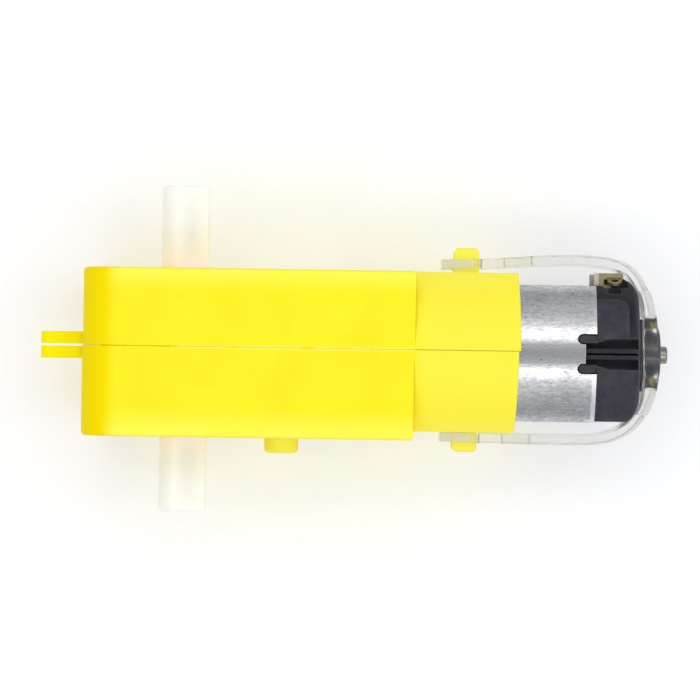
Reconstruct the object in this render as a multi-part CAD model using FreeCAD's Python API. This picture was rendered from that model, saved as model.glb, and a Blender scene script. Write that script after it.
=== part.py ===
import FreeCAD, Part
import math
import os

# Geared dc motor, dual output shaft, straight layout. Millimetres.
# Origin: where the output shaft's axis crosses the parting plane.
# +X towards the motor, +Y along the output shaft, +Z up. It rests on -Z.

V = FreeCAD.Vector
os.makedirs("parts", exist_ok=True)

# ---- driving dimensions -------------------------------------------------

# gearbox housing
X_FRONT = -11.0  # front end of the block
X_FRONT_EXTRA = 0.08  # the -Y half is this much longer at the front
X_STEP_L = 26.1  # rear end of the +Y half's block
X_STEP_R = 26.0  # rear end of the -Y half's block
Y_LEFT = 8.73  # outer face of the +Y half
Y_RIGHT = -10.07  # outer face of the -Y half
HALF_H = 11.15  # half of the height along Z
WALL = 1.57
FRONT_R = 4.2  # rounding of the front edges
EDGE_R = 0.45
SEAM = 0.015  # half of the gap at the parting plane, at the front and along the sleeve
SEAM_TIGHT = 0.004  # the same between them
X_BULKHEAD = 24.4  # inner face of the wall that carries the motor
NECK_X = 37.7  # open end of the motor sleeve
NECK_R = 11.15
NECK_FLAT = 8.95  # distance of the sleeve's flats from the motor's axis
NECK_END_L, NECK_END_R = 190.0, 150.0  # radii about Z of the sleeve's slightly curved end, each half
MOTOR_Y = -0.2  # the motor's axis lies this far from the parting plane

# front tab
TAB_X = -16.15
TAB_W = 5.0
TAB_T = 1.35  # thickness of each half
TAB_GAP = 0.15
TAB_HOLE_X = -13.5
TAB_HOLE_R = 1.5

# mounting holes, screws and nub
MOUNT_X, MOUNT_Z, MOUNT_R = 20.0, 8.8, 1.5
MOUNT_BOSS_R = 2.6
SCREWS = ((-8.0, 8.0), (-8.0, -8.0), (14.9, -8.7))
SCREW_BOSS_R = 2.0
SCREW_R, SCREW_HEAD_R = 0.95, 1.85
NUB_X, NUB_R, NUB_H = 11.2, 1.95, 1.9

# strap pegs
PEG_X, PEG_L, PEG_W = 31.95, 2.8, 4.0
PEG_TOP_L, PEG_TOP_R = 11.62, 11.5  # distance of the pegs' tops from the parting plane

# output shaft
SHAFT_R = 2.7
SHAFT_FLAT = 1.85  # half of the distance across the flats
SHAFT_LEFT = 18.24
SHAFT_RIGHT = -18.76
SHAFT_TURN = 24.0  # rest angle of the flats about +Y
SHAFT_HOLE_R, SHAFT_HOLE_L = 0.95, 9.0
RUN = 0.05  # radial running clearance

# gears: tooth counts
Z_PINION, Z_CROWN = 9, 30
Z_S1, Z_L1 = 10, 34
Z_S2, Z_L2 = 17, 27
Z_S3, Z_L3 = 12, 32
MOD = 0.5
MOD_CROWN = 0.4
AXLE_X = 11.0  # distance between the two gear axes
AXLE_R = 1.0
BACKLASH = 0.10  # circumferential, taken half from each gear

# motor
CAN_R, CAN_FLAT, CAN_WALL = 10.05, 7.65, 0.7
CAN_X0, CAN_X1 = 26.12, 46.3
BOSS_R, BOSS_L = 3.075, 1.7
MSHAFT_R = 1.0
MSHAFT_X0, MSHAFT_X1 = 15.9, 54.95
CAP_X1 = 51.2
CAP_TOP = 9.0  # the cap's terminal side stands past the can's flat
CAP_BOTTOM = -7.55
CAP_R = 10.0
DOME_R, DOME_X1 = 4.0, 54.05  # the rounded boss over the rear bearing
TERM_Z0, TERM_T = 3.4, 0.35  # inner face and thickness of a terminal

# strap
STRAP_T = 1.1
STRAP_BACK_EXTRA = 0.6  # it is this much thicker behind the motor


# ---- helpers ------------------------------------------------------------


def save(shape, name):
    if len(shape.Solids) == 1:
        shape = shape.Solids[0]
    shape.exportStep("parts/" + name + ".step")


def save_motor(shape, name):
    """Motor pieces are built about the X axis and then moved to the motor's own axis."""
    shape.translate(V(0, MOTOR_Y, 0))
    save(shape, name)


def box(x0, x1, y0, y1, z0, z1):
    return Part.makeBox(x1 - x0, y1 - y0, z1 - z0, V(x0, y0, z0))


def cyl_x(r, x0, x1, y=0.0, z=0.0):
    return Part.makeCylinder(r, x1 - x0, V(x0, y, z), V(1, 0, 0))


def cyl_y(r, y0, y1, x=0.0, z=0.0):
    return Part.makeCylinder(r, y1 - y0, V(x, y0, z), V(0, 1, 0))


def ring_x(r_out, r_in, x0, x1):
    return cyl_x(r_out, x0, x1).cut(cyl_x(r_in, x0 - 1, x1 + 1))


def edges_where(shape, test):
    return [e for e in shape.Edges if test(e)]


def rounded(shape, r, test):
    edges = edges_where(shape, test)
    return shape.makeFillet(r, edges) if edges else shape


def chamfered(shape, c, test):
    edges = edges_where(shape, test)
    return shape.makeChamfer(c, edges) if edges else shape


def at_y(y, tol=0.01):
    return lambda e: all(abs(v.Y - y) < tol for v in e.Vertexes)


def at_x(x, tol=0.01):
    return lambda e: all(abs(v.X - x) < tol for v in e.Vertexes)


def polar(r, a):
    return V(r * math.cos(a), r * math.sin(a), 0)


def spur(teeth, module, y0, y1, x_axis, tooth_dir, bore=0.0, shift=0.0):
    """An involute gear with its axis along Y at x_axis. tooth_dir (degrees, from +X towards -Z) is
    where a tooth is centred."""
    wire = Part.Wire(tooth_outline(teeth, module, shift))
    solid = Part.Face(wire).extrude(V(0, 0, y1 - y0))
    if bore:
        solid = solid.cut(Part.makeCylinder(bore, y1 - y0 + 2, V(0, 0, -1)))
    solid.rotate(V(0, 0, 0), V(0, 0, 1), tooth_dir)
    solid.rotate(V(0, 0, 0), V(1, 0, 0), -90)
    solid.translate(V(x_axis, y0, 0))
    return solid


def tooth_outline(teeth, module, shift=0.0):
    pressure = math.radians(20)
    pitch_r = module * teeth / 2
    base_r = pitch_r * math.cos(pressure)
    tip_r = pitch_r + module * (1 + shift)
    root_r = pitch_r - module * (1.25 - shift)
    inv = math.tan(pressure) - pressure
    thick = math.pi * module / 2 + 2 * shift * module * math.tan(pressure) - BACKLASH / 2
    half = thick / (2 * pitch_r)

    def half_angle(r):
        if r <= base_r:
            return half + inv
        a = math.acos(base_r / r)
        return half + inv - (math.tan(a) - a)

    start_r = max(base_r, root_r)
    radii = [start_r + (tip_r - start_r) * k / 4 for k in range(5)]
    edges = []
    step = 2 * math.pi / teeth
    for n in range(teeth):
        c = n * step
        up = [polar(r, c - half_angle(r)) for r in radii]
        down = [polar(r, c + half_angle(r)) for r in reversed(radii)]
        foot_up = polar(root_r, c - half_angle(start_r))
        foot_down = polar(root_r, c + half_angle(start_r))
        if root_r < start_r - 1e-6:
            edges.append(Part.makeLine(foot_up, up[0]))
        edges.append(flank(up))
        edges.append(Part.Arc(up[-1], polar(tip_r, c), down[0]).toShape())
        edges.append(flank(down))
        if root_r < start_r - 1e-6:
            edges.append(Part.makeLine(down[-1], foot_down))
        next_foot = polar(root_r, c + step - half_angle(start_r))
        last = foot_down if root_r < start_r - 1e-6 else down[-1]
        edges.append(Part.Arc(last, polar(root_r, c + step / 2), next_foot).toShape())
    return edges


def flank(points):
    curve = Part.BSplineCurve()
    curve.interpolate(points)
    return curve.toShape()


# ---- gearbox housing ----------------------------------------------------


def can_profile(r, flat, x0, x1, y=0.0):
    """A round bar along X with two flats that face +Y and -Y."""
    return cyl_x(r, x0, x1, y).common(box(x0 - 1, x1 + 1, y - flat, y + flat, -r - 1, r + 1))


def edge_along_y(x):
    """Picks the edges at x that run along Y."""
    return lambda e: at_x(x)(e) and abs(e.Vertexes[0].Z - e.Vertexes[-1].Z) < 0.01


def shell(side):
    """One half of the housing. side is +1 for the +Y half and -1 for the -Y half."""
    y_out = Y_LEFT if side > 0 else -Y_RIGHT
    x_step = X_STEP_L if side > 0 else X_STEP_R
    x_front = X_FRONT if side > 0 else X_FRONT - X_FRONT_EXTRA
    block = box(x_front, x_step, 0, y_out, -HALF_H, HALF_H)
    block = rounded(block, FRONT_R, edge_along_y(x_front))
    block = rounded(block, EDGE_R, at_y(y_out))
    axis_y = MOTOR_Y * side
    neck_x = NECK_X + 0.1 if side > 0 else NECK_X - 0.1
    neck = can_profile(NECK_R, NECK_FLAT, X_BULKHEAD, neck_x, axis_y)
    neck = neck.common(box(X_BULKHEAD, neck_x, 0, 20, -20, 20))
    end_r = NECK_END_L if side > 0 else NECK_END_R
    neck = neck.common(Part.makeCylinder(end_r, 40, V(neck_x - end_r, 0, -20), V(0, 0, 1)))
    body = block.fuse(neck)

    tab = box(TAB_X, X_FRONT + 1, 0, TAB_T + TAB_GAP, -TAB_W / 2, TAB_W / 2)
    tab = rounded(tab, 1.1, edge_along_y(TAB_X))
    body = body.fuse(tab)

    peg_top = PEG_TOP_L if side > 0 else PEG_TOP_R
    peg = box(PEG_X - PEG_L / 2, PEG_X + PEG_L / 2, NECK_FLAT - 1, peg_top, -PEG_W / 2, PEG_W / 2)
    peg = rounded(peg, 0.55, at_y(peg_top))
    body = body.fuse(peg)
    if side < 0:
        nub = cyl_y(NUB_R, y_out - 1, y_out + NUB_H, NUB_X)
        nub = rounded(nub, 0.55, at_y(y_out + NUB_H))
        body = body.fuse(nub)

    # hollow for the gears, and the sleeve's bore for the motor
    cavity = box(X_FRONT + WALL, X_BULKHEAD, -1, y_out - WALL, -HALF_H + WALL, HALF_H - WALL)
    cavity = rounded(cavity, FRONT_R - WALL, edge_along_y(X_FRONT + WALL))
    body = body.cut(cavity)
    body = body.cut(can_profile(CAN_R + 0.1, CAN_FLAT + 0.1, CAN_X0 - 0.02, NECK_X + 1, axis_y))
    body = body.cut(can_profile(CAN_R + 0.35, CAN_FLAT + 0.35, neck_x - 0.6, NECK_X + 1, axis_y))
    body = body.cut(cyl_x(BOSS_R + 0.06, X_BULKHEAD - 1, CAN_X0 + 1, axis_y))

    # posts that join the halves and carry the mounting holes
    posts = [cyl_y(MOUNT_BOSS_R, 0, y_out - 0.5, MOUNT_X, s * MOUNT_Z) for s in (-1, 1)]
    posts += [cyl_y(SCREW_BOSS_R, 0, y_out - 0.5, x, z) for x, z in SCREWS]
    outline = box(X_FRONT + 0.3, x_step, 0, y_out, -HALF_H + 0.1, HALF_H - 0.1)
    for post in posts:
        body = body.fuse(post.common(outline))
    for s in (-1, 1):
        body = body.cut(cyl_y(MOUNT_R, -1, y_out + 1, MOUNT_X, s * MOUNT_Z))
    for x, z in SCREWS:
        if side < 0:
            body = body.cut(cyl_y(SCREW_R + 0.25, -1, y_out + 1, x, z))
            body = body.cut(cyl_y(SCREW_HEAD_R + 0.15, y_out - 2.2, y_out + 1, x, z))
        else:
            body = body.cut(cyl_y(SCREW_R, -1, 6.6, x, z))

    # thrust ring and running hole for the output shaft
    body = body.fuse(cyl_y(3.7, y_out - WALL - 0.1, y_out - 0.5))
    body = body.cut(cyl_y(SHAFT_R + RUN, -1, y_out + 1))
    body = body.cut(cyl_y(SHAFT_R + 0.35, y_out - 0.3, y_out + 1))

    # blind socket for the axle pin
    socket_end = y_out - 0.45 if side > 0 else y_out - 0.2
    body = body.fuse(cyl_y(2.0, y_out - WALL - 0.1, y_out - 0.5, AXLE_X))
    body = body.cut(cyl_y(AXLE_R, -1, socket_end, AXLE_X))

    body = body.cut(cyl_y(TAB_HOLE_R, -1, TAB_T + 1, TAB_HOLE_X))
    body = body.cut(box(-20, x_front - 0.01, -1, TAB_GAP, -5, 5))
    body = body.cut(box(-20, 60, -1, SEAM_TIGHT, -20, 20))
    body = body.cut(box(-20, -1, -1, SEAM, -20, 20))
    body = body.cut(box(x_step, 60, -1, SEAM, -20, 20))
    body = body.removeSplitter()
    if side < 0:
        body = body.mirror(V(0, 0, 0), V(0, 1, 0))
    return body


save(shell(1), "gearbox_shell_left")
save(shell(-1), "gearbox_shell_right")


def screw(x, z):
    """A self-tapping pan-head screw whose head sits in the -Y half's counterbore."""
    y_seat = Y_RIGHT + 2.2
    head = cyl_y(SCREW_HEAD_R, y_seat - 1.3, y_seat, x, z)
    head = rounded(head, 0.5, at_y(y_seat - 1.3))
    shank = cyl_y(SCREW_R - 0.02, y_seat - 0.1, 5.6, x, z)
    tip = Part.makeCone(SCREW_R - 0.02, 0.3, 0.8, V(x, 5.6, z), V(0, 1, 0))
    body = head.fuse(shank).fuse(tip)
    for turn in (0, 90):
        slot = box(x - 1.1, x + 1.1, y_seat - 1.4, y_seat - 0.5, z - 0.22, z + 0.22)
        slot.rotate(V(x, 0, z), V(0, 1, 0), turn)
        body = body.cut(slot)
    return body.removeSplitter()


save(Part.makeCompound([screw(x, z) for x, z in SCREWS]), "assembly_screws")

# ---- output shaft and gears ---------------------------------------------


def double_d(y0, y1, grow=0.0):
    bar = cyl_y(SHAFT_R + grow, y0, y1)
    half = SHAFT_FLAT + grow
    bar = bar.common(box(-9, 9, y0 - 1, y1 + 1, -half, half))
    bar.rotate(V(0, 0, 0), V(0, 1, 0), SHAFT_TURN)
    return bar


GEAR_Y0, GEAR_Y1 = 4.75, 7.0  # output gear

shaft = cyl_y(SHAFT_R, Y_RIGHT - 0.1, GEAR_Y0)
shaft = shaft.fuse(cyl_y(SHAFT_R, GEAR_Y1 + 0.02, Y_LEFT + 0.1))
shaft = shaft.fuse(double_d(SHAFT_RIGHT, SHAFT_LEFT))
shaft = chamfered(shaft, 0.25, lambda e: at_y(SHAFT_LEFT)(e) or at_y(SHAFT_RIGHT)(e))
for y0, y1 in ((SHAFT_RIGHT - 1, SHAFT_RIGHT + SHAFT_HOLE_L), (SHAFT_LEFT - SHAFT_HOLE_L, SHAFT_LEFT + 1)):
    shaft = shaft.cut(cyl_y(SHAFT_HOLE_R, y0, y1))
save(shaft.removeSplitter(), "output_shaft")

# gears on the output shaft's axis have a tooth towards +X, and gears on the axle a space towards -X
output_gear = spur(Z_L3, MOD, GEAR_Y0, GEAR_Y1, 0, 0)
output_gear = output_gear.cut(cyl_y(6.6, GEAR_Y0 - 1, GEAR_Y0 + 0.6).cut(cyl_y(4.2, 0, 9)))
output_gear = output_gear.cut(cyl_y(6.6, GEAR_Y1 - 0.6, GEAR_Y1 + 1).cut(cyl_y(4.2, 0, 9)))
output_gear = output_gear.cut(double_d(GEAR_Y0 - 1, GEAR_Y1 + 1))
save(output_gear, "output_gear")


def axle_dir(teeth):
    return 180.0 + 180.0 / teeth


L1_Y0, L1_Y1 = -8.15, -6.0
S2_Y0, S2_Y1 = 2.5, 4.55
a1 = spur(Z_L1, MOD, L1_Y0, L1_Y1, 0, 0)
a1 = a1.cut(cyl_y(7.1, L1_Y1 - 0.6, L1_Y1 + 1).cut(cyl_y(3.4, -9, 0)))
a1 = a1.cut(cyl_y(7.1, L1_Y0 - 1, L1_Y0 + 0.5).cut(cyl_y(4.0, -10, 0)))
a1 = a1.fuse(cyl_y(3.4, L1_Y1 - 1, S2_Y0))
a1 = a1.fuse(spur(Z_S2, MOD, S2_Y0, S2_Y1, 0, 0))
a1 = a1.cut(cyl_y(SHAFT_R + RUN, -10, 10))
save(a1.removeSplitter(), "shaft_compound_gear")

L2_Y0, L2_Y1 = 2.65, 4.4
S3_Y1 = 7.0
b2 = spur(Z_L2, MOD, L2_Y0, L2_Y1, AXLE_X, axle_dir(Z_L2))
b2 = b2.cut(cyl_y(5.6, L2_Y1 - 0.45, L2_Y1 + 1, AXLE_X).cut(cyl_y(3.6, 0, 9, AXLE_X)))
b2 = b2.fuse(spur(Z_S3, MOD, L2_Y1 - 0.6, S3_Y1, AXLE_X, axle_dir(Z_S3)))
b2 = b2.fuse(cyl_y(1.9, 0.6, L2_Y0 + 0.2, AXLE_X))
b2 = b2.cut(cyl_y(AXLE_R + RUN, -1, 9, AXLE_X))
save(b2.removeSplitter(), "idler_compound_gear")

CROWN_BACK, CROWN_ROOT, CROWN_TIP = -3.7, -2.32, -1.42
CROWN_IN, CROWN_OUT = 5.3, 6.8


def crown_section(r):
    """One tooth's outline at radius r of the crown: it meshes with the involute pinion there."""
    pressure = math.radians(20)
    pinion_r = MOD_CROWN * Z_PINION / 2
    base_r = pinion_r * math.cos(pressure)
    rho = max(r * Z_PINION / Z_CROWN, base_r * 1.004)
    alpha = math.acos(base_r / rho)
    inv = math.tan(pressure) - pressure
    space = 2 * rho * (math.pi * MOD_CROWN / (4 * pinion_r) + inv - (math.tan(alpha) - alpha))
    half = (2 * math.pi * min(r, rho * Z_CROWN / Z_PINION) / Z_CROWN - space - BACKLASH) / 2
    low = half + (-rho - CROWN_ROOT) * math.tan(alpha)
    high = max(half - (CROWN_TIP + rho) * math.tan(alpha), 0.04)
    pts = [V(r, CROWN_ROOT - 0.3, -low), V(r, CROWN_ROOT, -low), V(r, CROWN_TIP, -high)]
    pts += [V(r, CROWN_TIP, high), V(r, CROWN_ROOT, low), V(r, CROWN_ROOT - 0.3, low)]
    return Part.makePolygon(pts + pts[:1])


tooth = Part.makeLoft([crown_section(r) for r in (CROWN_IN, 5.75, 6.25, CROWN_OUT)], True, True)
b1 = cyl_y(7.0, CROWN_BACK, CROWN_ROOT)
b1 = b1.cut(cyl_y(4.6, CROWN_ROOT - 0.5, CROWN_ROOT + 1))
b1 = b1.fuse(cyl_y(2.0, CROWN_BACK, 0.5))
teeth = []
for n in range(Z_CROWN):
    copy = tooth.copy()
    copy.rotate(V(0, 0, 0), V(0, 1, 0), 360 * n / Z_CROWN)
    teeth.append(copy)
b1 = b1.fuse(teeth)
b1.translate(V(AXLE_X, MOTOR_Y, 0))
b1 = b1.fuse(spur(Z_S1, MOD, -8.35, CROWN_BACK, AXLE_X, axle_dir(Z_S1)))
b1 = b1.cut(cyl_y(AXLE_R + RUN, -9, 9, AXLE_X))
save(b1.removeSplitter(), "crown_compound_gear")

axle = cyl_y(AXLE_R, Y_RIGHT + 0.25, Y_LEFT - 0.5, AXLE_X)
axle = chamfered(axle, 0.15, lambda e: at_y(Y_RIGHT + 0.25)(e) or at_y(Y_LEFT - 0.5)(e))
save(axle, "axle_pin")

pinion = spur(Z_PINION, MOD_CROWN, 0, 2.7, 0, 0, MSHAFT_R)
pinion.rotate(V(0, 0, 0), V(0, 0, 1), -90)
# the pinion's axis now lies along X; a space faces the crown
pinion.rotate(V(0, 0, 0), V(1, 0, 0), 180 / Z_PINION)
pinion.translate(V(MSHAFT_X0 + 0.1, 0, 0))
save_motor(pinion, "motor_pinion")

# ---- motor --------------------------------------------------------------

can = can_profile(CAN_R, CAN_FLAT, CAN_X0, CAN_X1)
can = rounded(can, 0.7, at_x(CAN_X0))
can = can.cut(can_profile(CAN_R - CAN_WALL, CAN_FLAT - CAN_WALL, CAN_X0 + 0.8, CAN_X1 + 1))
can = can.fuse(cyl_x(BOSS_R, CAN_X0 - BOSS_L, CAN_X0 + 1.6))
can = can.cut(cyl_x(2.3, CAN_X0 - BOSS_L + 0.4, CAN_X0 + 2))
can = can.cut(cyl_x(1.4, CAN_X0 - BOSS_L - 1, CAN_X0 + 2))
# two relief slots on each round side leave a tab that is bent into the cap
SLOT_X, SLOT_Y, SLOT_W = 44.15, 1.65, 1.15
for s in (-1, 1):
    for side in (-1, 1):
        z_lo, z_hi = sorted((5 * side, 12 * side))
        slot_end = V(SLOT_X + SLOT_W / 2, s * SLOT_Y, z_lo)
        y_lo, y_hi = slot_end.y - SLOT_W / 2, slot_end.y + SLOT_W / 2
        slot = box(slot_end.x, CAN_X1 + 1, y_lo, y_hi, z_lo, z_hi)
        can = can.cut(slot.fuse(Part.makeCylinder(SLOT_W / 2, z_hi - z_lo, slot_end)))
TAB_HALF = SLOT_Y - SLOT_W / 2
TAB_BEND_X = 45.05
for side in (-1, 1):
    z_lo, z_hi = sorted((5.0 * side, 12.0 * side))
    can = can.cut(box(TAB_BEND_X, CAN_X1 + 1, -TAB_HALF - 0.01, TAB_HALF + 0.01, z_lo, z_hi))
    z_lo, z_hi = sorted((8.75 * side, 9.5 * side))
    can = can.fuse(box(TAB_BEND_X - 0.6, TAB_BEND_X, -TAB_HALF, TAB_HALF, z_lo, z_hi))
save_motor(can.removeSplitter(), "motor_can")

front_bearing = ring_x(2.28, MSHAFT_R + 0.03, CAN_X0 - BOSS_L + 0.45, CAN_X0 + 1.55)
save_motor(front_bearing, "front_bearing")

# end cap: a shallow cup whose spigot sits in the can. Between the middle groove and the terminals
# a raised pad stands on it, and its other half is as high as that pad.
smooth_side = rounded(cyl_x(CAP_R, CAN_X1 + 0.02, CAP_X1), 0.9, at_x(CAP_X1))
pad_block = box(40, 49.9, 1.7, 6.1, -12, 12)
pad_block = rounded(pad_block, 1.2, lambda e: at_x(49.9)(e) and at_y(6.1)(e))
raised_pad = cyl_x(CAP_R, CAN_X1 + 0.02, 49.9).common(pad_block)
cap = rounded(cyl_x(CAP_R - 0.8, CAN_X1 + 0.02, CAP_X1), 0.8, at_x(CAP_X1))
cap = cap.fuse(smooth_side.common(box(40, 60, -12, -1.7, -12, 12))).fuse(raised_pad)
cap = cap.common(box(40, 60, CAP_BOTTOM, CAP_TOP, -12, 12))
cap = cap.cut(box(40, CAN_X1 + 0.45, CAN_FLAT + 0.01, 12, -12, 12))


def outside_corner(x, y, r):
    """What a cutter removes to leave a corner of radius r centred at x, y, on the side of y's sign."""
    side = 1 if y > 0 else -1
    y_lo, y_hi = sorted((y, side * 20))
    return box(x, 60, y_lo, y_hi, -12, 12).cut(Part.makeCylinder(r, 30, V(x, y, -15)))


cap = cap.cut(outside_corner(48.0, CAP_TOP - 3.2, 3.2))
# the other side slants a little before its corner, where the strap passes
slant = [(51.3, -4.9), (50.95, -6.2), (50.5, -7.0), (50.0, -7.5), (49.7, -7.6), (60, -7.6), (60, -4.9)]
slant = Part.makePolygon([V(x, y, -12) for x, y in slant + slant[:1]])
cap = cap.cut(Part.Face(slant).extrude(V(0, 0, 24)))
spigot = can_profile(CAN_R - CAN_WALL - 0.04, CAN_FLAT - CAN_WALL - 0.04, 43.4, CAN_X1 + 0.1)
cap = cap.fuse(spigot)
cap = cap.cut(can_profile(7.0, 5.2, 40, 49.6))
# Grooves that take the can's bent tabs, each with a double rib along its middle. The fingers
# beside them fill the can's relief slots, and the groove widens behind them.
GROOVE_Z, RIB_Z, FINGER_Z = 7.5, 9.2, 9.62
for side in (-1, 1):
    z_lo, z_hi = sorted((GROOVE_Z * side, 12.0 * side))
    cap = cap.cut(box(43.3, CAP_X1 - 0.25, -1.7, 1.7, z_lo, z_hi))
    z_lo, z_hi = sorted(((GROOVE_Z - 0.2) * side, RIB_Z * side))
    for y in (-0.36, 0.36):
        rib = box(TAB_BEND_X + 0.1, CAP_X1 - 0.1, y - 0.26, y + 0.26, z_lo, z_hi)
        top = [e for e in rib.Edges if all(abs(v.Z - RIB_Z * side) < 0.01 for v in e.Vertexes)]
        rib = rib.makeFillet(0.14, [e for e in top if e.Length > 1])
        cap = cap.fuse(rib)
    z_lo, z_hi = sorted(((GROOVE_Z - 0.2) * side, FINGER_Z * side))
    for s in (-1, 1):
        half = SLOT_W / 2 - 0.14
        x_tip = SLOT_X + SLOT_W / 2
        finger = box(x_tip, CAN_X1 + 0.1, s * SLOT_Y - half, s * SLOT_Y + half, z_lo, z_hi)
        finger = finger.fuse(Part.makeCylinder(half, z_hi - z_lo, V(x_tip, s * SLOT_Y, z_lo), V(0, 0, 1)))
        y_in, y_out = s * (SLOT_Y - half), s * 1.75
        flare = [V(45.6, y_in, z_lo), V(46.5, s * 1.33, z_lo), V(47.6, s * 1.65, z_lo)]
        flare += [V(49.0, y_out, z_lo), V(45.6, y_out, z_lo), flare[0]]
        finger = finger.fuse(Part.Face(Part.makePolygon(flare)).extrude(V(0, 0, z_hi - z_lo)))
        cap = cap.fuse(finger)
# bearing boss on a flat plate
cap = cap.fuse(rounded(box(49.0, 51.7, -4.1, 4.0, -5.6, 5.6), 0.15, at_x(51.7)))
dome = cyl_x(DOME_R, 50.0, DOME_X1)
dome = rounded(dome, 1.7, at_x(DOME_X1))
cap = cap.fuse(dome)
cap = cap.cut(cyl_x(2.32, 48.0, 52.3))
cap = cap.cut(cyl_x(1.3, 50.0, 55.0))
# pockets for the terminals, each with a deeper well behind its ear
for side in (-1, 1):
    z_lo, z_hi = sorted((side * (TERM_Z0 - 0.15), side * 12))
    cap = cap.cut(box(45.9, 50.0, CAN_FLAT + 0.01, 12, z_lo, z_hi))
    cap = cap.cut(box(47.25, 49.95, 7.45, 12, z_lo, z_hi))
    z_lo, z_hi = sorted((side * (TERM_Z0 + 1.0), side * 12))
    cap = cap.cut(box(47.75, 49.15, 6.8, 8, z_lo, z_hi))
    z_lo, z_hi = sorted((side * (TERM_Z0 - 0.02), side * (TERM_Z0 + TERM_T + 0.02)))
    cap = cap.cut(box(46.8, 48.3, 4.9, 8, z_lo, z_hi))
cap = cap.removeSplitter()
save_motor(cap, "end_cap")

rear_bearing = ring_x(2.28, MSHAFT_R + 0.03, 49.1, 52.25)
save_motor(rear_bearing, "rear_bearing")

motor_shaft = cyl_x(MSHAFT_R, MSHAFT_X0, MSHAFT_X1)
motor_shaft = rounded(motor_shaft, 0.25, lambda e: at_x(MSHAFT_X0)(e) or at_x(MSHAFT_X1)(e))
save_motor(motor_shaft, "motor_shaft")

# three-pole armature
CORE_X0, CORE_X1, CORE_R = 31.0, 40.6, 6.5


def pole(turn, x0, x1, half_w, z1):
    """A straight leg from the axis along +Z, turned about X."""
    leg = box(x0, x1, -half_w, half_w, 0, z1)
    leg.rotate(V(0, 0, 0), V(1, 0, 0), turn)
    return leg


def arc_x(turn, x0, x1, r_out, r_in, half_deg):
    """A sector of a ring about X, centred on +Z and then turned about X."""
    ring = cyl_x(r_out, x0, x1).cut(cyl_x(r_in, x0 - 1, x1 + 1))
    reach = 40.0
    side = reach * math.tan(math.radians(half_deg))
    corners = [V(x0, 0, 0), V(x0, side, reach), V(x0, -side, reach), V(x0, 0, 0)]
    sector = ring.common(Part.Face(Part.makePolygon(corners)).extrude(V(x1 - x0, 0, 0)))
    sector.rotate(V(0, 0, 0), V(1, 0, 0), turn)
    return sector


core = cyl_x(2.4, CORE_X0, CORE_X1)
for k in range(3):
    core = core.fuse(pole(120 * k, CORE_X0, CORE_X1, 1.1, 5.8))
    core = core.fuse(arc_x(120 * k, CORE_X0, CORE_X1, CORE_R, 5.4, 48))
core = core.cut(cyl_x(MSHAFT_R, CORE_X0 - 1, CORE_X1 + 1))
save_motor(core.removeSplitter(), "armature_core")

insulator = cyl_x(2.7, CORE_X0 - 0.5, CORE_X0 - 0.01)
insulator = insulator.fuse([pole(120 * k, CORE_X0 - 0.5, CORE_X0 - 0.01, 1.1, 5.4) for k in range(3)])
insulator = insulator.cut(cyl_x(MSHAFT_R, CORE_X0 - 2, CORE_X1 + 2))
other_end = insulator.copy()
other_end.translate(V(CORE_X1 - CORE_X0 + 0.51, 0, 0))
save_motor(Part.makeCompound([insulator, other_end]), "core_insulators")

coils = []
for k in range(3):
    coil = box(CORE_X0 - 1.7, CORE_X1 + 1.7, -2.3, 2.3, 2.85, 5.2)
    coil = rounded(coil, 1.0, lambda e: abs(e.Vertexes[0].Z - e.Vertexes[-1].Z) > 1)
    coil = coil.cut(box(CORE_X0 - 0.52, CORE_X1 + 0.52, -1.12, 1.12, 0, 9))
    coil = coil.common(cyl_x(5.35, 20, 60))
    coil = coil.cut(cyl_x(2.72, CORE_X0 - 3, CORE_X1 + 3))
    corners = [V(20, 0, 0.25), V(20, 12, 7.15), V(20, -12, 7.15), V(20, 0, 0.25)]
    coil = coil.common(Part.Face(Part.makePolygon(corners)).extrude(V(40, 0, 0)))
    coil.rotate(V(0, 0, 0), V(1, 0, 0), 120 * k)
    coils.append(coil)
save_motor(Part.makeCompound(coils), "armature_windings")

COMM_X0, COMM_X1, COMM_R = 43.1, 47.4, 2.3
sleeve = ring_x(1.85, MSHAFT_R, CORE_X1 + 1.9, COMM_X1 + 0.3)
sleeve = sleeve.fuse(ring_x(3.0, MSHAFT_R, CORE_X1 + 1.9, COMM_X0 - 0.25))
save_motor(sleeve.removeSplitter(), "commutator_sleeve")

segments = []
for k in range(3):
    seg = arc_x(120 * k + 60, COMM_X0, COMM_X1, COMM_R, 1.87, 57)
    riser = arc_x(120 * k + 60, COMM_X0 - 0.23, COMM_X0, 3.1, 1.87, 20)
    segments.append(seg.fuse(riser).removeSplitter())
save_motor(Part.makeCompound(segments), "commutator_segments")
save_motor(ring_x(2.6, COMM_R + 0.01, COMM_X0 + 0.02, COMM_X0 + 0.6), "segment_ring")

washers = [ring_x(1.9, MSHAFT_R, 28.0, 28.4), ring_x(1.7, MSHAFT_R, 48.1, 48.5)]
save_motor(Part.makeCompound(washers), "thrust_washers")

# magnets and their spring clip
MAG_X0, MAG_X1 = 29.5, 42.5


def magnet(turn):
    arc = arc_x(turn, MAG_X0, MAG_X1, CAN_R - CAN_WALL - 0.02, 6.9, 46)
    limit = CAN_FLAT - CAN_WALL - 0.1
    return arc.common(box(0, 60, -limit, limit, -12, 12))


save_motor(magnet(0), "magnet_upper")
save_motor(magnet(180), "magnet_lower")

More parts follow.
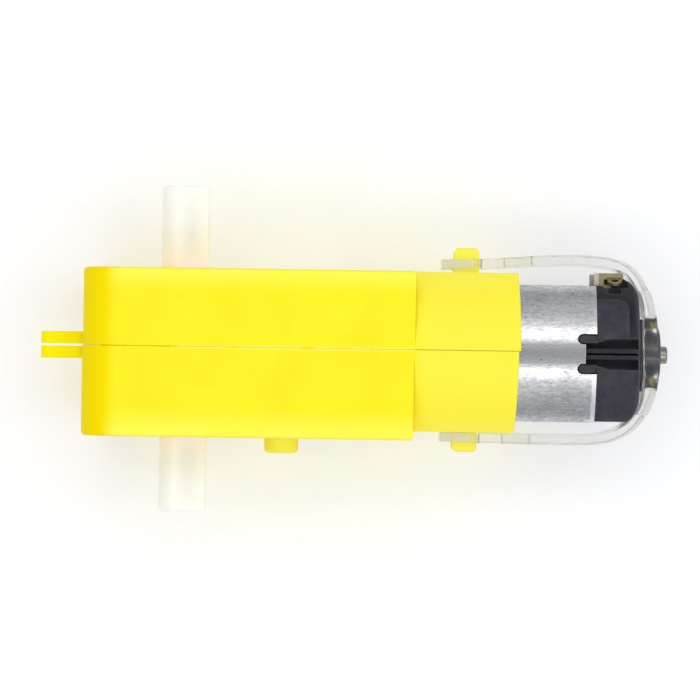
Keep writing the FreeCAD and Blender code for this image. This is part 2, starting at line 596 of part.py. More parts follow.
CLIP_Y = CAN_FLAT - CAN_WALL - 0.05
clip_line = [(0.0, -4.6), (-0.24, -3.0), (-0.24, 3.0), (0.0, 4.6)]
clip_back = [(0.04, 4.6), (0.04, 4.3), (-0.12, 3.1), (-0.12, -3.1), (0.04, -4.3), (0.04, -4.6)]
clip = Part.makePolygon([V(31, CLIP_Y + y, z) for y, z in clip_line + clip_back + clip_line[:1]])
save_motor(Part.Face(clip).extrude(V(6, 0, 0)), "magnet_clip")

# brushes: spring leaves that stand in the cap and press on the commutator from both Z sides


def brush(s):
    leaf = box(44.2, 46.2, -4.2, 5.2, s * (COMM_R + 0.55), s * (COMM_R + 0.55) + 0.2)
    if s < 0:
        leaf = box(44.2, 46.2, -4.2, 5.2, -COMM_R - 0.75, -COMM_R - 0.55)
    lo, hi = sorted((s * (COMM_R + 0.03), s * (COMM_R + 0.55)))
    tip = box(44.3, 46.1, -1.0, 1.0, lo, hi)
    tip = tip.cut(cyl_x(COMM_R + 0.03, 40, 50))
    return leaf.fuse(tip)


save_motor(brush(1), "brush_front")
save_motor(brush(-1), "brush_rear")


def terminal(side):
    """A brass tag that leaves the cap's pocket. Its ear, with a hole for the lead, stands up from the
    tag and leans towards the motor's axis."""
    tag = box(46.25, 47.4, CAN_FLAT + 0.1, 9.15, TERM_Z0, TERM_Z0 + TERM_T)
    tag = tag.fuse(box(47.3, 49.55, 8.45, 9.15, TERM_Z0, TERM_Z0 + TERM_T))
    stem = box(46.9, 48.2, 5.1, CAN_FLAT + 0.2, TERM_Z0, TERM_Z0 + TERM_T)
    ear = box(47.75, 49.35, 8.45, 8.45 + TERM_T, TERM_Z0, TERM_Z0 + 1.9)
    ear = rounded(ear, 0.75, lambda e: e.Length < 0.5 and e.Vertexes[0].Z > TERM_Z0 + 1.8)
    ear = ear.cut(cyl_y(0.42, 7, 10, 48.55, TERM_Z0 + 1.1))
    ear.rotate(V(0, 8.45, TERM_Z0), V(1, 0, 0), 24)
    body = tag.fuse(stem).fuse(ear).removeSplitter()
    return body if side > 0 else body.mirror(V(0, 0, 0), V(0, 0, 1))


save_motor(terminal(1), "terminal_front")
save_motor(terminal(-1), "terminal_rear")

# ---- retaining strap ----------------------------------------------------


STRAP_LINE = (
    (29.1, 10.25), (34.0, 10.4), (39.0, 10.75), (43.55, 10.94), (47.6, 10.72), (50.6, 9.65), (52.2, 7.4),
    (52.9, 5.5), (53.3, 3.3), (53.58, 0.5), (53.6, -1.6), (53.4, -3.8), (52.6, -6.4), (51.2, -8.5),
    (48.9, -9.9), (43.55, -10.5), (39.0, -10.48), (34.0, -10.42), (29.1, -10.3))
STRAP_END_W, STRAP_ARM_W, STRAP_SIDE_W, STRAP_BACK_W = 7.0, 8.0, 9.0, 12.0


def spline(points):
    curve = Part.BSplineCurve()
    curve.interpolate(points)
    return curve


def ribbon(width):
    """The strap's side outline, extruded to a width along Z."""
    outer = spline([V(x, y, 0) for x, y in STRAP_LINE])
    inner = []
    count = 40
    for k in range(count + 1):
        u = outer.FirstParameter + (outer.LastParameter - outer.FirstParameter) * k / count
        along = outer.tangent(u)[0]
        point = outer.value(u)
        thick = STRAP_T + (STRAP_BACK_EXTRA * max(0.0, 1 - (point.y / 5.5) ** 2) if point.x > 50 else 0)
        inner.append(point + V(along.y, -along.x, 0) * thick)
    inner = spline(inner)
    far_end = Part.makeLine(outer.EndPoint, inner.EndPoint)
    near_end = Part.makeLine(inner.StartPoint, outer.StartPoint)
    wire = Part.Wire([outer.toShape(), far_end, inner.toShape(), near_end])
    solid = Part.Face(wire).extrude(V(0, 0, width))
    solid.translate(V(0, 0, -width / 2))
    return solid


strap = ribbon(STRAP_BACK_W)
# the strap is narrow at its ends and wide where it bears on the motor's rear
for side in (-1, 1):
    for x1, width in ((36.4, STRAP_END_W), (39.5, STRAP_ARM_W), (50.2, STRAP_SIDE_W)):
        z_lo, z_hi = sorted((side * width / 2, side * 20))
        strap = strap.cut(box(20, x1, -20, 20, z_lo, z_hi))
    for y_lo, y_hi in ((6.9, 20), (-20, -6.9)):
        z_lo, z_hi = sorted((side * STRAP_SIDE_W / 2, side * 20))
        strap = strap.cut(box(50.1, 60, y_lo, y_hi, z_lo, z_hi))
window_l, window_w = PEG_L + 0.6, PEG_W + 0.6
window_x0 = PEG_X - window_l / 2
strap = strap.cut(box(window_x0, window_x0 + window_l, -20, 20, -window_w / 2, window_w / 2))
strap = strap.cut(cyl_x(4.25, 50.0, 60.0))
save(strap.removeSplitter(), "retaining_strap")
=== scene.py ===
import math

import bpy
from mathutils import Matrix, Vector


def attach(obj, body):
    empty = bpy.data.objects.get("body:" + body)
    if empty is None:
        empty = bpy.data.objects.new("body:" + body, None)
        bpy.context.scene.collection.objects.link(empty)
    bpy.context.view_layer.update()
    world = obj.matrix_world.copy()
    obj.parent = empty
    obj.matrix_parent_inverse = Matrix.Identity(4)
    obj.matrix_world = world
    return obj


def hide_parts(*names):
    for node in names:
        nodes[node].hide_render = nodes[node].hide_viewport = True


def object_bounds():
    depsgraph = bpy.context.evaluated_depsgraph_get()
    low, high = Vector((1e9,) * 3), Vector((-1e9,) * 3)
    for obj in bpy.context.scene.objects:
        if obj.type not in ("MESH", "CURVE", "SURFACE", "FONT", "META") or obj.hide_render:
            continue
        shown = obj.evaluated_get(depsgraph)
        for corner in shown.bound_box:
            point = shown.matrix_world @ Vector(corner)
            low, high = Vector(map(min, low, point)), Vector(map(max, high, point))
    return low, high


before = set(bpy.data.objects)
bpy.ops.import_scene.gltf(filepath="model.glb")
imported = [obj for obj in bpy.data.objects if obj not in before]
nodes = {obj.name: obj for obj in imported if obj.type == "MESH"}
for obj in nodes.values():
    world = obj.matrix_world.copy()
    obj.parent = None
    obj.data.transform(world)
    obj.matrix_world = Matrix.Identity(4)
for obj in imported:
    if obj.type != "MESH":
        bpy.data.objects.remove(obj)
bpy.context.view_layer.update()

MM = 0.001
MOTOR_Y = 0.2  # millimetres: the motor's axis lies this far on the -Y side

# Where the finishes, the painted shade and the painted highlights change on the part. Each pair is where
# a change starts and where it is complete, in millimetres.
FRONT_X = (-6.5, -7.9)  # towards the block's rounded front
TAB_X = (-11.4, -11.9)
SLEEVE_X = (26.0, 27.0)
LONG_EDGES_Y = ((6.2, 8.8), (-6.8, -10.1))  # towards the block's two sides
FLASH_Y = (0.17, 0.10)  # across the parting line
FLASH_X = ((-1.5, 1.0), (27.0, 25.5))  # its two ends
SHAFT_ROOT_Y = (13.5, 10.4)  # towards the casing, along either end of the output shaft, where a painted glow grows
CAN_RIM_X = (45.95, 46.2)
CAN_RIM_Y = (1.0, -3.0)  # the rim's painted highlight lies mostly on the -Y side
# painted highlight: the terminal tag's end beyond the cap is painted paler
LIT_END_X = (46.9, 46.84)
CAP_RAISED_R = (9.45, 9.6)  # distance from the motor's axis
CAP_LOW_HALF_Y = (-1.8, -2.0)
CAP_REAR_X = (50.5, 50.9)
STRAP_MILKY_X = (33.9, 32.7)
STRAP_OLIVE_X = ((36.3, 36.5), (39.5, 39.3))
STRAP_SCUFFED_X = (50.6, 51.8)


# ---- node helpers -------------------------------------------------------


def add(tree, kind, inputs=None, **settings):
    node = tree.nodes.new("ShaderNode" + kind)
    for key, value in settings.items():
        setattr(node, key, value)
    for key, value in (inputs or {}).items():
        if isinstance(value, bpy.types.NodeSocket):
            tree.links.new(value, node.inputs[key])
        else:
            node.inputs[key].default_value = value
    return node


def coords(tree, scale=(1, 1, 1), shift=(0, 0, 0)):
    """Object coordinates in millimetres, stretched by scale."""
    tex = add(tree, "TexCoord")
    per_mm = [s / MM for s in scale]
    return add(tree, "Mapping", {0: tex.outputs["Object"], "Location": shift, "Scale": per_mm}).outputs[0]


def axes_of(tree, vector):
    return add(tree, "SeparateXYZ", {0: vector}).outputs


def noise(tree, where, scale, detail, rough, distortion=0.0):
    inputs = {"Vector": where, "Scale": scale, "Detail": detail, "Roughness": rough}
    return add(tree, "TexNoise", {**inputs, "Distortion": distortion}).outputs["Fac"]


def ramp(tree, value, span, low=0.0, high=1.0):
    """Goes from low to high while the value crosses the span."""
    inputs = {"Value": value, "From Min": span[0], "From Max": span[1], "To Min": low, "To Max": high}
    return add(tree, "MapRange", inputs).outputs[0]


def mixed(tree, factor, a, b):
    """The colour a where the factor is 0, and b where it is 1."""
    node = add(tree, "Mix", data_type="RGBA")
    for socket, value in ((node.inputs[0], factor), (node.inputs[6], a), (node.inputs[7], b)):
        if isinstance(value, bpy.types.NodeSocket):
            tree.links.new(value, socket)
        else:
            socket.default_value = value
    return node.outputs[2]


def maths(tree, operation, a, b=0.0):
    return add(tree, "Math", {0: a, 1: b}, operation=operation).outputs[0]


def times(tree, a, b):
    return maths(tree, "MULTIPLY", a, b)


def plus(tree, a, b, share=1.0):
    """The value a and a share of b."""
    return maths(tree, "ADD", a, b if share == 1.0 else times(tree, b, share))


def less(tree, a, b, share=1.0):
    return maths(tree, "SUBTRACT", a, b if share == 1.0 else times(tree, b, share))


def weighed(tree, a, share_a, b, share_b):
    return plus(tree, times(tree, a, share_a), b, share_b)


def within(tree, value, spans):
    """1 between the two spans, 0 beyond them."""
    return times(tree, ramp(tree, value, spans[0]), ramp(tree, value, spans[1]))


def scuff_lines(tree):
    """Thin lines scattered along X."""
    streak = noise(tree, coords(tree, (0.35, 4.0, 3.0), (3.1, 0.7, 1.9)), 1.6, 2.0, 0.4, 0.6)
    return ramp(tree, streak, (0.66, 0.72))


def start(name):
    material = bpy.data.materials.new(name)
    material.use_nodes = True
    tree = material.node_tree
    tree.nodes.clear()
    out = add(tree, "OutputMaterial")
    shader = add(tree, "BsdfPrincipled")
    tree.links.new(shader.outputs[0], out.inputs[0])
    return material, tree, shader, out


def painted(tree, shader, colour, roughness):
    tree.links.new(colour, shader.inputs["Base Color"])
    tree.links.new(roughness, shader.inputs["Roughness"])


def scattering(shader, weight, radius_mm):
    """Lets light pass a little way under the surface."""
    shader.inputs["Subsurface Weight"].default_value = weight
    shader.inputs["Subsurface Radius"].default_value = radius_mm
    shader.inputs["Subsurface Scale"].default_value = MM


def bumped(tree, shader, height, strength, distance_mm, bevel_mm):
    """Gives the shader small bumps and soft edges."""
    bump = add(tree, "Bump", {"Height": height, "Strength": strength, "Distance": distance_mm * MM})
    bevel = add(tree, "Bevel", {"Radius": bevel_mm * MM}, samples=4)
    tree.links.new(bevel.outputs[0], bump.inputs["Normal"])
    tree.links.new(bump.outputs[0], shader.inputs["Normal"])


# ---- materials ----------------------------------------------------------


def plastic(name, light, dark, rough=(0.35, 0.5), grain=6.0, bump=0.25, scuffs=0.0, scatter=0.0,
            scatter_mm=(0.6, 0.4, 0.2), bevel=0.12, specular=0.5, painted_glow_span=None):
    """Moulded plastic: slow colour drift, fine grain and faint scuffs. A piece may be given a painted
    glow, faint all over and stronger and orange where it stands in a coloured one, over a given span of
    distances from Y = 0."""
    material, tree, shader, _ = start(name)
    where = coords(tree)
    slow = noise(tree, where, 0.18, 2.0, 0.5)
    fine = noise(tree, where, grain, 4.0, 0.6)
    drift = ramp(tree, weighed(tree, slow, 0.75, fine, 0.25), (0.35, 0.65))
    roughness = ramp(tree, fine, (0.3, 0.7), *rough)
    height = fine
    if scuffs:
        lines = scuff_lines(tree)
        roughness = plus(tree, roughness, lines, scuffs)
        height = less(tree, fine, lines, 0.6)
    painted(tree, shader, mixed(tree, drift, light, dark), roughness)
    shader.inputs["Specular IOR Level"].default_value = specular
    if scatter:
        scattering(shader, scatter, scatter_mm)
    # painted light: a faint glow all over, orange near the casing, standing in for light bounced from it
    if painted_glow_span:
        across = maths(tree, "ABSOLUTE", axes_of(tree, where)[1])
        warm = ramp(tree, plus(tree, across, slow), painted_glow_span)
        glow = mixed(tree, warm, (0.01, 0.01, 0.01, 1), (0.12, 0.052, 0.022, 1))
        tree.links.new(glow, shader.inputs["Emission Color"])
        shader.inputs["Emission Strength"].default_value = 1.0
    bumped(tree, shader, height, bump, 0.03, bevel)
    return material


def moulded_yellow(name):
    """Glossy yellow plastic: slow colour drift, fine grain and a few scuffs, with painted shade in
    recesses and towards the rounded front, a painted sheen on the sleeve and along the long edges, and a
    thin line of flash where the two halves meet, painted pale as its highlight."""
    material, tree, shader, _ = start(name)
    where = coords(tree)
    x, y, _ = axes_of(tree, where)
    slow = noise(tree, where, 0.16, 2.0, 0.5)
    fine = noise(tree, where, 4.5, 4.0, 0.6)
    drift = ramp(tree, weighed(tree, slow, 0.8, fine, 0.2), (0.36, 0.64))
    colour = mixed(tree, drift, (0.95, 0.835, 0.004, 1), (0.95, 0.785, 0.0008, 1))

    # painted shade: the colour darkens in recesses and close gaps, where less light reaches
    open_air = add(tree, "AmbientOcclusion", {"Distance": 0.8 * MM}, samples=4, only_local=True)
    painted_recess_shade = ramp(tree, open_air.outputs["AO"], (0.2, 0.75), 0.9, 0.0)
    colour = mixed(tree, painted_recess_shade, colour, (0.60, 0.36, 0.0, 1))

    # painted shade: the colour is deeper towards the rounded front, which faces away from the lamps; the
    # tab is a little paler
    front = ramp(tree, plus(tree, x, slow), FRONT_X)
    colour = mixed(tree, times(tree, front, 0.75), colour, (0.92, 0.70, 0.0004, 1))
    colour = mixed(tree, ramp(tree, x, TAB_X), colour, (0.95, 0.85, 0.003, 1))
    # painted sheen: the sleeve is paler, where its round top catches the lamps
    colour = mixed(tree, ramp(tree, x, SLEEVE_X, 0.0, 0.8), colour, (0.945, 0.83, 0.05, 1))

    # painted sheen: on the broad faces the colour is painted paler towards the long edges, where their
    # rounding catches the light
    upright = maths(tree, "ABSOLUTE", axes_of(tree, add(tree, "NewGeometry").outputs["Normal"])[2])
    edge = maths(tree, "MAXIMUM", *[ramp(tree, y, span) for span in LONG_EDGES_Y])
    edge = times(tree, edge, less(tree, 1.0, front))
    edge = times(tree, edge, ramp(tree, slow, (0.3, 0.6), 0.7, 1.0))
    edge = times(tree, edge, ramp(tree, upright, (0.3, 0.9)))
    colour = mixed(tree, edge, colour, (0.955, 0.90, 0.085, 1))

    # painted highlight: a thin wavering pale line along the parting, for the light caught by the raised
    # flash
    wander = noise(tree, coords(tree, (1, 0, 0), (7, 0, 0)), 0.5, 3.0, 0.6)
    flash = times(tree, ramp(tree, maths(tree, "ABSOLUTE", y), FLASH_Y), within(tree, x, FLASH_X))
    flash = times(tree, flash, ramp(tree, wander, (0.38, 0.55), 0.25, 1.0))
    colour = mixed(tree, flash, colour, (0.97, 0.90, 0.16, 1))

    lines = scuff_lines(tree)
    painted(tree, shader, colour, plus(tree, ramp(tree, fine, (0.3, 0.7), 0.36, 0.5), lines, 0.05))
    tree.links.new(ramp(tree, front, (0.0, 1.0), 0.28, 0.02), shader.inputs["Specular IOR Level"])
    scattering(shader, 0.06, (0.6, 0.4, 0.2))
    bumped(tree, shader, less(tree, fine, lines, 0.6), 0.22, 0.03, 0.16)
    return material


def metal(name, light, dark, rough=(0.25, 0.4), grain=(0.15, 1.0, 1.0), scale=9.0, anisotropy=0.0,
          painted_lit_end=None):
    """Metal with streaks along its grain and slow tarnish. It may be painted paler past a span of X, a
    painted highlight where its end catches the light.
    """
    material, tree, shader, _ = start(name)
    streaks = noise(tree, coords(tree, grain), scale, 5.0, 0.65)
    cloud = noise(tree, coords(tree, (1, 1, 1), (5, 2, 8)), 0.55, 3.0, 0.6)
    speckle = noise(tree, coords(tree, (1, 1, 1), (1, 7, 3)), 7.0, 2.0, 0.5)
    tone = ramp(tree, weighed(tree, streaks, 0.6, cloud, 0.4), (0.35, 0.65))
    colour = mixed(tree, tone, light, dark)
    # painted highlight: the end past the span is painted paler, where it catches the light
    if painted_lit_end:
        x = axes_of(tree, coords(tree))[0]
        lit_end_highlight = ramp(tree, plus(tree, x, cloud, 0.15), painted_lit_end)
        colour = mixed(tree, lit_end_highlight, colour, (0.52, 0.49, 0.42, 1))
    mottle = weighed(tree, streaks, 0.7, speckle, 0.3)
    painted(tree, shader, colour, ramp(tree, mottle, (0.35, 0.65), *rough))
    shader.inputs["Metallic"].default_value = 1.0
    if anisotropy:
        shader.inputs["Anisotropic"].default_value = anisotropy
        tangent = add(tree, "Tangent", direction_type="RADIAL", axis="X")
        tree.links.new(tangent.outputs[0], shader.inputs["Tangent"])
    bumped(tree, shader, plus(tree, streaks, speckle, 0.4), 0.2, 0.02, 0.08)
    return material


def drawn_can(name):
    """Zinc-plated drawn steel: fine scratches along the can, a mottled plating, dark specks and a painted
    highlight along the rim at its open end."""
    material, tree, shader, _ = start(name)
    x, y, _ = axes_of(tree, coords(tree))
    scratches = noise(tree, coords(tree, (0.16, 1.0, 1.0)), 4.5, 4.0, 0.7)
    mottle = noise(tree, coords(tree, (0.6, 1.0, 1.0), (3, 1, 4)), 3.2, 3.0, 0.7)
    cloud = noise(tree, coords(tree, (0.6, 1.0, 1.0), (5, 2, 8)), 0.5, 3.0, 0.6)
    tone = plus(tree, weighed(tree, mottle, 0.45, scratches, 0.35), cloud, 0.2)
    colour = mixed(tree, ramp(tree, tone, (0.36, 0.64)), (0.33, 0.335, 0.35, 1), (0.72, 0.725, 0.74, 1))

    specks = noise(tree, coords(tree, (0.7, 1.2, 1.2), (9, 4, 2)), 1.5, 2.0, 0.5)
    specks = ramp(tree, specks, (0.69, 0.74), 0.0, 0.75)
    colour = mixed(tree, specks, colour, (0.10, 0.10, 0.105, 1))

    # painted highlight: the rim at the open end is painted paler, mostly on the -Y side
    rim = ramp(tree, plus(tree, x, cloud, 0.5), CAN_RIM_X)
    rim = times(tree, rim, ramp(tree, y, CAN_RIM_Y, 0.15, 1.0))
    colour = mixed(tree, rim, colour, (0.80, 0.80, 0.81, 1))

    painted(tree, shader, colour, plus(tree, ramp(tree, tone, (0.38, 0.62), 0.30, 0.17), rim, 0.12))
    shader.inputs["Metallic"].default_value = 1.0
    bumped(tree, shader, less(tree, plus(tree, mottle, scratches, 0.8), specks), 0.20, 0.02, 0.08)
    return material


def moulded_black(name):
    """Black plastic: fine-sparked raised faces with painted highlights along their edges, and smoother
    low faces painted darker as painted shade.
    """
    material, tree, shader, _ = start(name)
    where = coords(tree)
    x, y, z = axes_of(tree, where)
    cloud = noise(tree, where, 0.7, 3.0, 0.6)
    fine = noise(tree, where, 7.0, 4.0, 0.65)
    tone = weighed(tree, cloud, 0.6, fine, 0.4)

    squares = [maths(tree, "POWER", side, 2.0) for side in (plus(tree, y, MOTOR_Y), z)]
    radius = maths(tree, "POWER", plus(tree, *squares), 0.5)
    raised = ramp(tree, radius, CAP_RAISED_R)
    raised = maths(tree, "MAXIMUM", raised, ramp(tree, y, CAP_LOW_HALF_Y))
    raised = maths(tree, "MAXIMUM", raised, ramp(tree, x, CAP_REAR_X))
    # painted shade: the low faces off the raised pads are painted darker than the raised ones
    raised_tone = mixed(tree, ramp(tree, tone, (0.36, 0.62)), (0.020, 0.019, 0.027, 1), (0.044, 0.042, 0.056, 1))
    painted_low_shade = ramp(tree, fine, (0.3, 0.7))
    painted_low_shade = mixed(tree, painted_low_shade, (0.010, 0.0098, 0.015, 1), (0.017, 0.0165, 0.024, 1))
    colour = mixed(tree, raised, painted_low_shade, raised_tone)

    # painted highlight: edges are painted lighter, as where they catch the light. An edge is where the
    # rounded normal leaves the flat one.
    rounded = add(tree, "Bevel", {"Radius": 0.3 * MM}, samples=4).outputs[0]
    flat = add(tree, "NewGeometry").outputs["True Normal"]
    facing = add(tree, "VectorMath", {0: rounded, 1: flat}, operation="DOT_PRODUCT").outputs["Value"]
    painted_edge_highlight = ramp(tree, facing, (0.985, 0.85), 0.0, 0.8)
    painted_edge_highlight = times(tree, painted_edge_highlight, ramp(tree, tone, (0.3, 0.55), 0.4, 1.0))
    colour = mixed(tree, painted_edge_highlight, colour, (0.085, 0.083, 0.10, 1))

    painted(tree, shader, colour, plus(tree, ramp(tree, fine, (0.3, 0.7), 0.36, 0.48), raised, 0.08))
    shader.inputs["Specular IOR Level"].default_value = 0.22
    dust = noise(tree, coords(tree, (1, 1, 1), (4, 9, 1)), 2.6, 1.0, 0.4)
    bumped(tree, shader, plus(tree, fine, ramp(tree, dust, (0.80, 0.83))), 0.35, 0.03, 0.25)
    return material


def clear_plastic(name):
    """Clear plastic with soft surface waves, milky where it hooks on the pegs and faintly olive where
    it first widens. Lamps shine through it."""
    material, tree, shader, out = start(name)
    where = coords(tree)
    x = axes_of(tree, where)[0]
    waves = noise(tree, where, 0.45, 2.0, 0.4)
    fine = noise(tree, where, 5.0, 3.0, 0.6)
    milky = ramp(tree, plus(tree, x, waves), STRAP_MILKY_X)
    tint = mixed(tree, waves, (0.97, 0.97, 0.94, 1), (0.90, 0.905, 0.86, 1))
    tint = mixed(tree, within(tree, x, STRAP_OLIVE_X), tint, (0.90, 0.895, 0.80, 1))
    tint = mixed(tree, milky, tint, (0.80, 0.80, 0.73, 1))

    # the back is scuffed where it bears on the motor
    scuffed = ramp(tree, x, STRAP_SCUFFED_X, 0.0, 0.07)
    painted(tree, shader, tint, plus(tree, ramp(tree, fine, (0.3, 0.7), 0.05, 0.11), scuffed))
    tree.links.new(ramp(tree, milky, (0.0, 1.0), 1.0, 0.45), shader.inputs["Transmission Weight"])
    shader.inputs["IOR"].default_value = 1.49
    bumped(tree, shader, plus(tree, waves, fine, 0.03), 0.4, 0.2, 0.25)

    path = add(tree, "LightPath")
    lit = maths(tree, "MAXIMUM", path.outputs["Is Shadow Ray"], path.outputs["Is Diffuse Ray"])
    through = add(tree, "BsdfTransparent", {"Color": (0.97, 0.97, 0.95, 1)})
    mix = add(tree, "MixShader", {0: lit, 1: shader.outputs[0], 2: through.outputs[0]})
    tree.links.new(mix.outputs[0], out.inputs[0])
    return material


# ---- finishes -----------------------------------------------------------

yellow = moulded_yellow("yellow_abs")
nylon = plastic("white_nylon", (0.95, 0.93, 0.905, 1), (0.93, 0.905, 0.875, 1), rough=(0.38, 0.52),
                grain=3.0, bump=0.15, scuffs=0.04, scatter=0.8, scatter_mm=(3.0, 2.6, 2.0),
                specular=0.3, painted_glow_span=SHAFT_ROOT_Y)
acetal = plastic("white_acetal", (0.83, 0.82, 0.78, 1), (0.80, 0.79, 0.74, 1), rough=(0.25, 0.38),
                 grain=4.0, bump=0.1, scatter=0.25, scatter_mm=(1.2, 1.0, 0.8), bevel=0.06)
black = moulded_black("black_plastic")
blue = plastic("insulator_blue", (0.05, 0.16, 0.38, 1), (0.06, 0.19, 0.42, 1), bevel=0.05)
resin = plastic("sleeve_resin", (0.10, 0.045, 0.022, 1), (0.14, 0.06, 0.03, 1), bevel=0.05)
ferrite = plastic("ferrite", (0.035, 0.035, 0.038, 1), (0.06, 0.06, 0.062, 1), rough=(0.5, 0.75),
                  grain=3.0, bump=0.5)
clear = clear_plastic("clear_strap")

can_steel = drawn_can("can_steel")
shaft_steel = metal("shaft_steel", (0.34, 0.315, 0.28, 1), (0.20, 0.18, 0.155, 1), rough=(0.2, 0.34),
                    grain=(1.0, 0.3, 0.3), scale=8.0, anisotropy=0.4)
screw_steel = metal("screw_steel", (0.55, 0.55, 0.57, 1), (0.38, 0.38, 0.40, 1), rough=(0.3, 0.45),
                    scale=6.0)
brass = metal("brass", (0.50, 0.44, 0.25, 1), (0.24, 0.21, 0.12, 1), rough=(0.30, 0.5),
              grain=(0.4, 1, 1), scale=5.0)
# painted shade: the terminals' brass is a darker copy of the brass above, for brass in shade beside the
# black cap
tag_brass = metal("tag_brass", (0.33, 0.30, 0.165, 1), (0.24, 0.215, 0.115, 1), rough=(0.32, 0.5),
                  grain=(0.4, 1, 1), scale=5.0, painted_lit_end=LIT_END_X)
bronze = metal("bronze", (0.50, 0.33, 0.16, 1), (0.36, 0.23, 0.11, 1), rough=(0.45, 0.6),
               grain=(1, 1, 1), scale=7.0)
wire = metal("copper_wire", (0.72, 0.27, 0.10, 1), (0.55, 0.17, 0.06, 1), rough=(0.2, 0.35),
             grain=(0.2, 2, 2))
segment = metal("copper_segment", (0.80, 0.42, 0.24, 1), (0.62, 0.30, 0.16, 1), rough=(0.2, 0.4),
                grain=(2, 0.2, 0.2))
laminate = metal("laminated_steel", (0.33, 0.33, 0.35, 1), (0.2, 0.2, 0.21, 1), rough=(0.35, 0.55),
                 grain=(4.0, 0.1, 0.1), scale=3.0)

finishes = (
    (yellow, ("gearbox_shell_left", "gearbox_shell_right")),
    (nylon, ("output_shaft",)),
    (acetal, ("output_gear", "shaft_compound_gear", "idler_compound_gear", "crown_compound_gear")),
    (black, ("end_cap",)),
    (blue, ("core_insulators", "segment_ring", "thrust_washers")),
    (resin, ("commutator_sleeve",)),
    (ferrite, ("magnet_upper", "magnet_lower")),
    (clear, ("retaining_strap",)),
    (can_steel, ("motor_can",)),
    (shaft_steel, ("axle_pin", "motor_shaft", "magnet_clip")),
    (screw_steel, ("assembly_screws",)),
    (brass, ("motor_pinion",)),
    (tag_brass, ("terminal_front", "terminal_rear")),
    (bronze, ("front_bearing", "rear_bearing")),
    (wire, ("armature_windings",)),
    (segment, ("commutator_segments", "brush_front", "brush_rear")),
    (laminate, ("armature_core",)),
)
for material, names in finishes:
    for name in names:
        nodes[name].data.materials.clear()
        nodes[name].data.materials.append(material)


# ---- wound coils --------------------------------------------------------

# A coil is wound in layers round each of the armature's legs. Lengths are in millimetres.
LEGS = 3
LEG_X = (30.48, 41.12)  # ends of the leg with its insulators
LEG_HALF = 1.12
WIRE_R = 0.125
COIL_FOOT, COIL_RIM = 2.98, 5.2  # distances from the motor's axis
COIL_LAYERS = 4
FIRST_LAYER, LAYER_STEP = 1.1, 1.8  # off the leg and from layer to layer, in wire radii
PITCH = 2.04 * WIRE_R
CORNER_STEPS = 4


def wound_loop(grow):
    """The corners of a leg, rounded with radius grow, as one turn of wire passes them."""
    (start_x, end_x), half = LEG_X, LEG_HALF
    loop = []
    for quarter, (x, y) in enumerate(((end_x, half), (start_x, half), (start_x, -half), (end_x, -half))):
        for step in range(CORNER_STEPS + 1):
            angle = math.radians(90 * (quarter + step / CORNER_STEPS))
            loop.append((x + grow * math.cos(angle), y + grow * math.sin(angle)))
    return loop


def coil_path(turn):
    """The wire's line about one leg, outwards and back in layers, turned about the motor's axis."""
    c, s = math.cos(turn), math.sin(turn)
    points = []
    for layer in range(COIL_LAYERS):
        grow = WIRE_R * (FIRST_LAYER + LAYER_STEP * layer)
        loop = wound_loop(grow)
        top = math.sqrt(COIL_RIM ** 2 - (LEG_HALF + grow + WIRE_R) ** 2) - WIRE_R
        turns = int((top - COIL_FOOT) / PITCH)
        for n in range(turns * len(loop)):
            x, y = loop[n % len(loop)]
            rise = PITCH * n / len(loop)
            height = COIL_FOOT + (rise if layer % 2 == 0 else PITCH * turns - rise)
            points.append((x, y * c - height * s - MOTOR_Y, y * s + height * c))
    return points


wound = bpy.data.curves.new("wound_coils", "CURVE")
wound.dimensions = "3D"
wound.bevel_depth = WIRE_R * MM
wound.bevel_resolution = 2
for leg in range(LEGS):
    path = coil_path(math.radians(360 / LEGS * leg))
    line = wound.splines.new("POLY")
    line.points.add(len(path) - 1)
    for point, place in zip(line.points, path):
        point.co = (place[0] * MM, place[1] * MM, place[2] * MM, 1)
    line.use_smooth = True
wound.materials.append(wire)
coils = bpy.data.objects.new("wound_coils", wound)
bpy.context.scene.collection.objects.link(coils)
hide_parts("armature_windings")
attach(coils, "rotor")


# ---- floor --------------------------------------------------------------

FLOOR_REACH = 1.6  # metres, from the middle to each side
FLOOR_DROP = 0.02  # millimetres under the part

low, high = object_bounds()
floor_z = low.z - FLOOR_DROP * MM
floor_corners = ((-1, -1), (1, -1), (1, 1), (-1, 1))
floor_mesh = bpy.data.meshes.new("floor")
floor_mesh.from_pydata([(x * FLOOR_REACH, y * FLOOR_REACH, floor_z) for x, y in floor_corners], [],
                       [(0, 1, 2, 3)])
floor = bpy.data.objects.new("floor", floor_mesh)
bpy.context.scene.collection.objects.link(floor)
paper, tree, shader, _ = start("paper")
fibre = noise(tree, coords(tree), 0.8, 3.0, 0.6)
paper_colour = mixed(tree, fibre, (0.61, 0.615, 0.64, 1), (0.63, 0.635, 0.66, 1))
painted(tree, shader, paper_colour, ramp(tree, fibre, (0.3, 0.7), 0.6, 0.75))
shader.inputs["Specular IOR Level"].default_value = 0.2
# the paper is lit a little from below, as on a light table
shader.inputs["Emission Color"].default_value = (1.0, 1.0, 1.0, 1.0)
shader.inputs["Emission Strength"].default_value = 0.35
floor_mesh.materials.append(paper)


# ---- light --------------------------------------------------------------

LAMPS_AIM = (20, 0, 0)  # millimetres


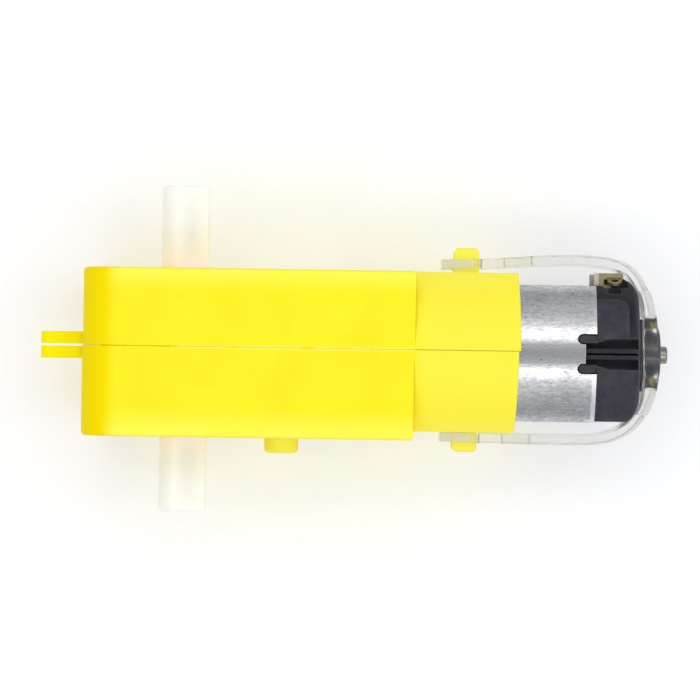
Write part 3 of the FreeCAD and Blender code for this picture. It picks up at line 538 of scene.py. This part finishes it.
def softbox(name, at_mm, size_mm, power):
    data = bpy.data.lights.new(name, "AREA")
    data.shape = "RECTANGLE"
    data.size, data.size_y = size_mm[0] * MM, size_mm[1] * MM
    data.energy = power
    lamp = bpy.data.objects.new(name, data)
    bpy.context.scene.collection.objects.link(lamp)
    lamp.location = Vector(at_mm) * MM
    lamp.rotation_euler = (Vector(LAMPS_AIM) * MM - lamp.location).to_track_quat("-Z", "Y").to_euler()


softbox("softbox_back", (20, 250, 560), (700, 160), 0.58)
softbox("softbox_front", (20, -252, 560), (700, 140), 0.55)
softbox("softbox_end", (460, 0, 430), (240, 420), 0.42)

# The studio is dark straight above, where the camera hangs, bright around the lamps and dimmer
# towards the horizon: the cosine of the angle from straight up, and the brightness there.
SKY = ((0.0, 0.48), (0.40, 0.62), (0.64, 0.82), (0.77, 1.08), (0.90, 1.08), (0.965, 0.60), (1.0, 0.40))
SKY_COLOUR = (0.99, 0.995, 1.0)

world = bpy.data.worlds.new("studio")
world.use_nodes = True
bpy.context.scene.world = world
sky_tree = world.node_tree
sky = sky_tree.nodes["Background"]
upwards = axes_of(sky_tree, add(sky_tree, "TexCoord").outputs["Generated"])[2]
shades = add(sky_tree, "ValToRGB", {0: upwards})
while len(shades.color_ramp.elements) < len(SKY):
    shades.color_ramp.elements.new(1.0)
for stop, (position, value) in zip(shades.color_ramp.elements, SKY):
    stop.position = position
    stop.color = (*[value * part for part in SKY_COLOUR], 1)
sky_tree.links.new(shades.outputs[0], sky.inputs["Color"])
sky.inputs["Strength"].default_value = 1.0


# ---- camera -------------------------------------------------------------

VIEW_CENTRE = (18.87, -0.14)  # millimetres, under the middle of the frame
VIEW_DISTANCE = 380.0  # millimetres, from the top of the gearbox
SCALE_AT_TOP = 9.04  # frame pixels per millimetre at the top of the gearbox
FRAME_PIXELS = 700
TURN = 0.86  # degrees

camera_data = bpy.data.cameras.new("camera")
camera_data.sensor_width = 36.0
camera_data.lens = SCALE_AT_TOP * VIEW_DISTANCE / FRAME_PIXELS * camera_data.sensor_width
camera_data.clip_end = 10.0
camera = bpy.data.objects.new("camera", camera_data)
bpy.context.scene.collection.objects.link(camera)
camera.location = Vector((*VIEW_CENTRE, high.z / MM + VIEW_DISTANCE)) * MM
camera.rotation_euler = (0, 0, math.radians(TURN))
bpy.context.scene.camera = camera
bpy.context.scene.view_settings.view_transform = "Standard"
